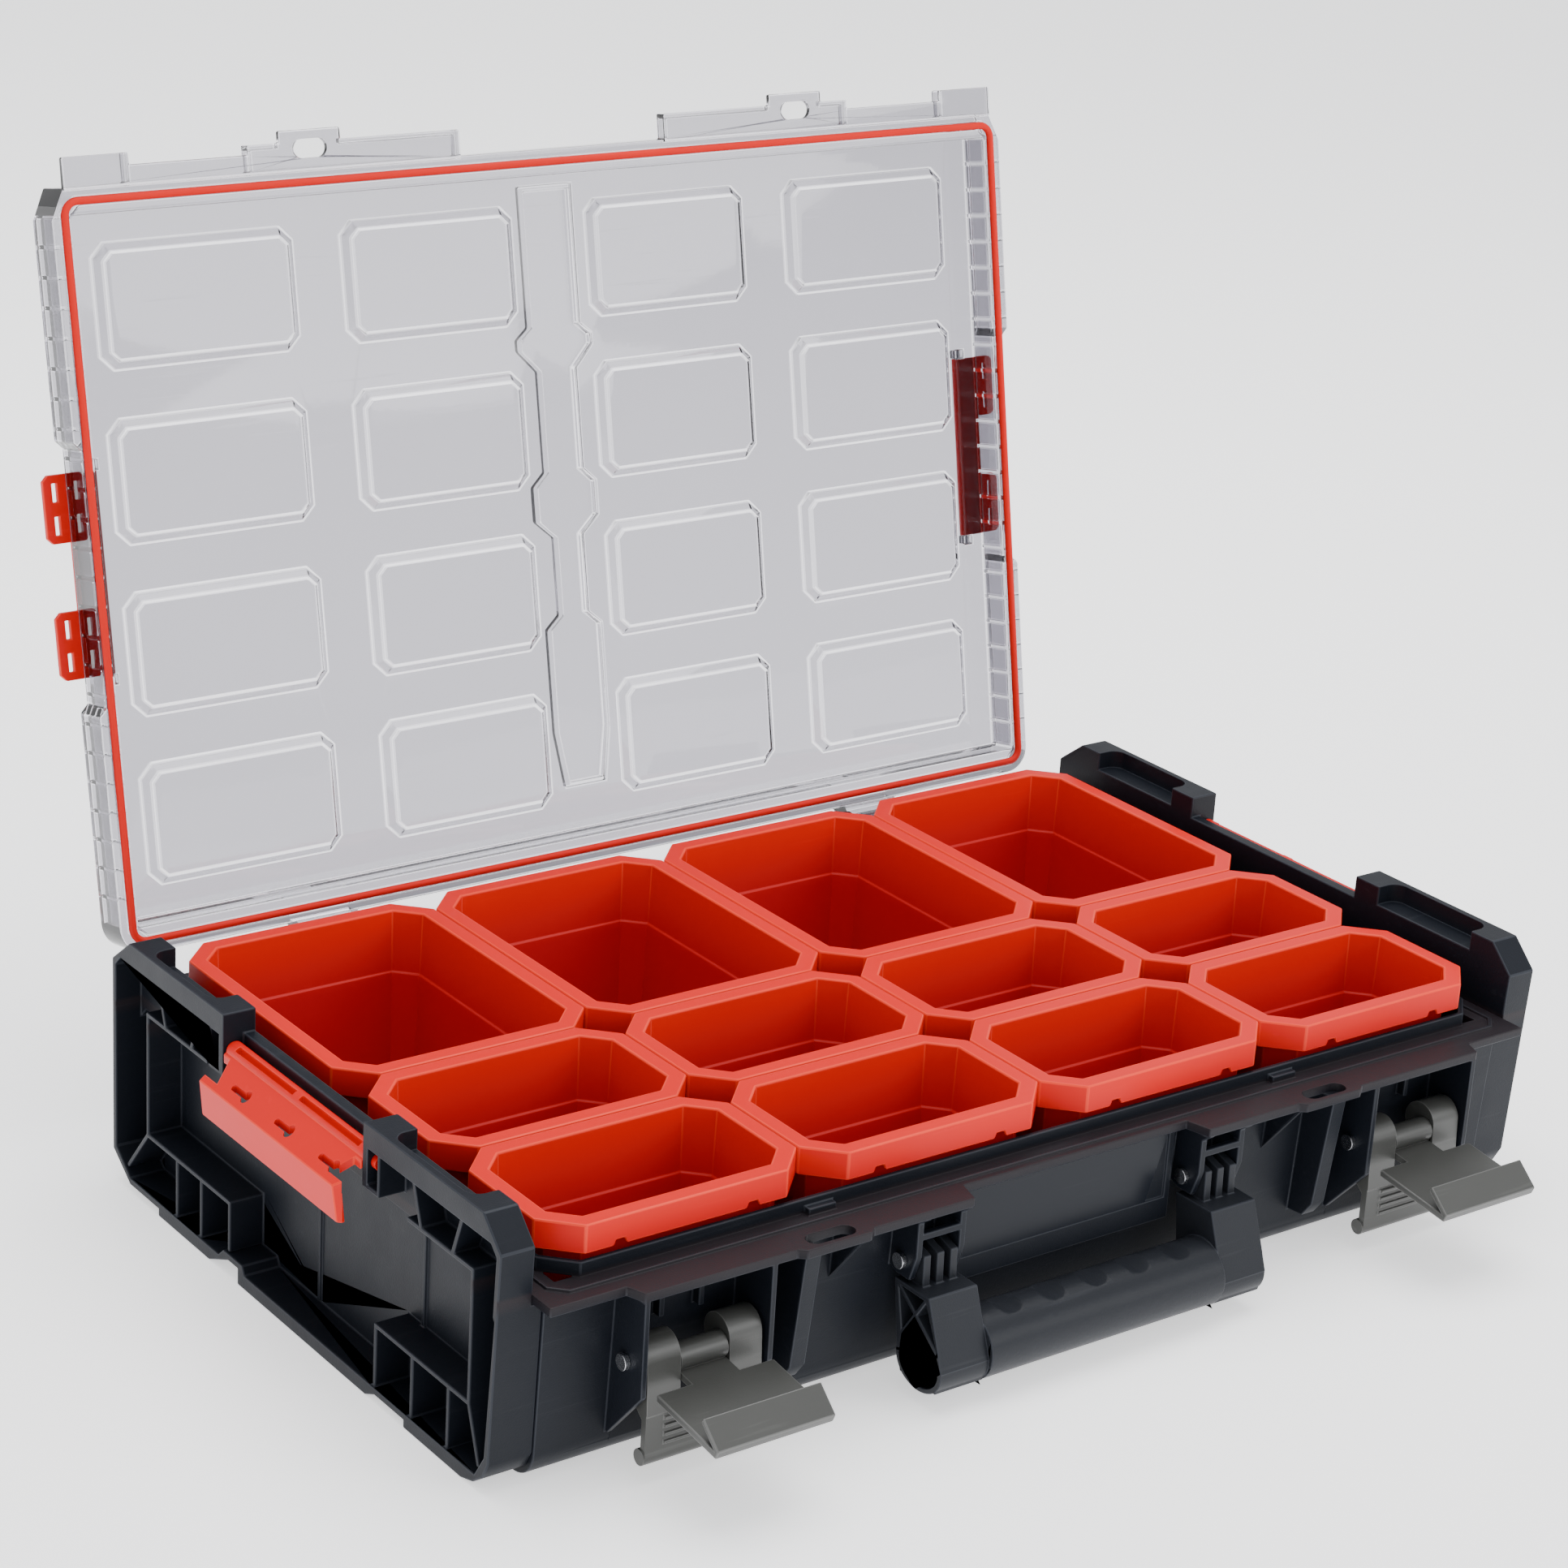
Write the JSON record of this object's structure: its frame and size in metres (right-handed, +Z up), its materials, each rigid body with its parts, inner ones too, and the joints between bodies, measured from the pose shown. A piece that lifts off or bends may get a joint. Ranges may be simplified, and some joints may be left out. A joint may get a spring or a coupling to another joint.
{
  "type": "parts organizer case",
  "caption": "Low black case with red lift-out bins, a clear hinged lid, front toggle latches, a carrying handle and ribbed stacking ends.",
  "frame": {"origin": "middle of the flat underside of the case", "axes": "+X along the front to the right, +Y to the rear hinges, +Z up"},
  "size_m": [0.553, 0.4708, 0.4228],
  "materials": {
    "case_black": "fine moulded grain, slightly warm on the flange",
    "latch_grey": "satin, olive grey",
    "handle_grey": "satin moulded",
    "bin_red": "semi-gloss orange red with lighter lips",
    "clip_red": "semi-gloss",
    "gasket_red": "soft matt",
    "lid_clear": "clear moulded plastic with a faint lilac grey tint",
    "pin_steel": "bright drawn wire",
    "label_black": "gloss, bare"
  },
  "bodies": {
    "case": {"tub": "case_black", "end_frame_left": "case_black", "end_frame_right": "case_black", "latch_pins": "pin_steel", "handle_pins": "pin_steel", "lid_hinge_pins": "pin_steel", "label_plate": "label_black"},
    "lid": {"lid": "lid_clear", "gasket": "gasket_red", "lid_clip_pins": "pin_steel"},
    "lid_clip_left": {"lid_clip_left": "clip_red"},
    "lid_clip_right": {"lid_clip_right": "clip_red"},
    "latch_lever_left": {"latch_lever_left": "latch_grey"},
    "latch_lever_right": {"latch_lever_right": "latch_grey"},
    "hook_plate_left": {"hook_plate_left": "latch_grey"},
    "hook_plate_right": {"hook_plate_right": "latch_grey"},
    "handle": {"handle": "handle_grey"},
    "side_latch_left": {"side_latch_left": "clip_red"},
    "side_latch_right": {"side_latch_right": "clip_red"},
    "bin_large_1": {"bin_large_1": "bin_red"},
    "bin_large_2": {"bin_large_2": "bin_red"},
    "bin_large_3": {"bin_large_3": "bin_red"},
    "bin_large_4": {"bin_large_4": "bin_red"},
    "bin_mid_1": {"bin_mid_1": "bin_red"},
    "bin_mid_2": {"bin_mid_2": "bin_red"},
    "bin_mid_3": {"bin_mid_3": "bin_red"},
    "bin_mid_4": {"bin_mid_4": "bin_red"},
    "bin_front_1": {"bin_front_1": "bin_red"},
    "bin_front_2": {"bin_front_2": "bin_red"},
    "bin_front_3": {"bin_front_3": "bin_red"},
    "bin_front_4": {"bin_front_4": "bin_red"}
  },
  "joints": [
    {"name": "lid_hinge", "type": "hinge", "parent": "case", "child": "lid", "pos_m": [0, 0.1692, 0.0826], "axis": [1, 0, 0], "range_deg": [0, 101.3]},
    {"name": "lid_clip_left_turn", "type": "hinge", "parent": "lid", "child": "lid_clip_left", "pos_m": [-0.233, 0.22628, 0.24374], "axis": [0, 0.1959, 0.9806], "range_deg": [-90, 0]},
    {"name": "latch_lever_left_turn", "type": "hinge", "parent": "case", "child": "latch_lever_left", "pos_m": [-0.1846, -0.1603, 0.0494], "axis": [1, 0, 0], "range_deg": [-85, 0]},
    {"name": "hook_plate_left_turn", "type": "hinge", "parent": "latch_lever_left", "child": "hook_plate_left", "pos_m": [-0.1846, -0.1635, 0.047], "axis": [-1, 0, 0], "range_deg": [-4, 88]},
    {"name": "side_latch_left_turn", "type": "hinge", "parent": "case", "child": "side_latch_left", "pos_m": [-0.2605, 0, 0.098], "axis": [0, -1, 0], "range_deg": [-140, 18]},
    {"name": "lid_clip_right_turn", "type": "hinge", "parent": "lid", "child": "lid_clip_right", "pos_m": [0.233, 0.22628, 0.24374], "axis": [0, -0.1959, -0.9806], "range_deg": [-90, 0]},
    {"name": "latch_lever_right_turn", "type": "hinge", "parent": "case", "child": "latch_lever_right", "pos_m": [0.1846, -0.1603, 0.0494], "axis": [1, 0, 0], "range_deg": [-85, 0]},
    {"name": "hook_plate_right_turn", "type": "hinge", "parent": "latch_lever_right", "child": "hook_plate_right", "pos_m": [0.1846, -0.1635, 0.047], "axis": [-1, 0, 0], "range_deg": [-4, 88]},
    {"name": "side_latch_right_turn", "type": "hinge", "parent": "case", "child": "side_latch_right", "pos_m": [0.2605, 0, 0.098], "axis": [0, 1, 0], "range_deg": [-140, 18]},
    {"name": "handle_swing", "type": "hinge", "parent": "case", "child": "handle", "pos_m": [0, -0.1585, 0.056], "axis": [1, 0, 0], "range_deg": [-90, 0]},
    {"name": "bin_large_1_lift", "type": "slide", "parent": "case", "child": "bin_large_1", "axis": [0, 0, -1], "range_m": [-0.12, 0]},
    {"name": "bin_large_2_lift", "type": "slide", "parent": "case", "child": "bin_large_2", "axis": [0, 0, -1], "range_m": [-0.12, 0]},
    {"name": "bin_large_3_lift", "type": "slide", "parent": "case", "child": "bin_large_3", "axis": [0, 0, -1], "range_m": [-0.12, 0]},
    {"name": "bin_large_4_lift", "type": "slide", "parent": "case", "child": "bin_large_4", "axis": [0, 0, -1], "range_m": [-0.12, 0]},
    {"name": "bin_mid_1_lift", "type": "slide", "parent": "case", "child": "bin_mid_1", "axis": [0, 0, -1], "range_m": [-0.12, 0]},
    {"name": "bin_mid_2_lift", "type": "slide", "parent": "case", "child": "bin_mid_2", "axis": [0, 0, -1], "range_m": [-0.12, 0]},
    {"name": "bin_mid_3_lift", "type": "slide", "parent": "case", "child": "bin_mid_3", "axis": [0, 0, -1], "range_m": [-0.12, 0]},
    {"name": "bin_mid_4_lift", "type": "slide", "parent": "case", "child": "bin_mid_4", "axis": [0, 0, -1], "range_m": [-0.12, 0]},
    {"name": "bin_front_1_lift", "type": "slide", "parent": "case", "child": "bin_front_1", "axis": [0, 0, -1], "range_m": [-0.12, 0]},
    {"name": "bin_front_2_lift", "type": "slide", "parent": "case", "child": "bin_front_2", "axis": [0, 0, -1], "range_m": [-0.12, 0]},
    {"name": "bin_front_3_lift", "type": "slide", "parent": "case", "child": "bin_front_3", "axis": [0, 0, -1], "range_m": [-0.12, 0]},
    {"name": "bin_front_4_lift", "type": "slide", "parent": "case", "child": "bin_front_4", "axis": [0, 0, -1], "range_m": [-0.12, 0]}
  ]
}
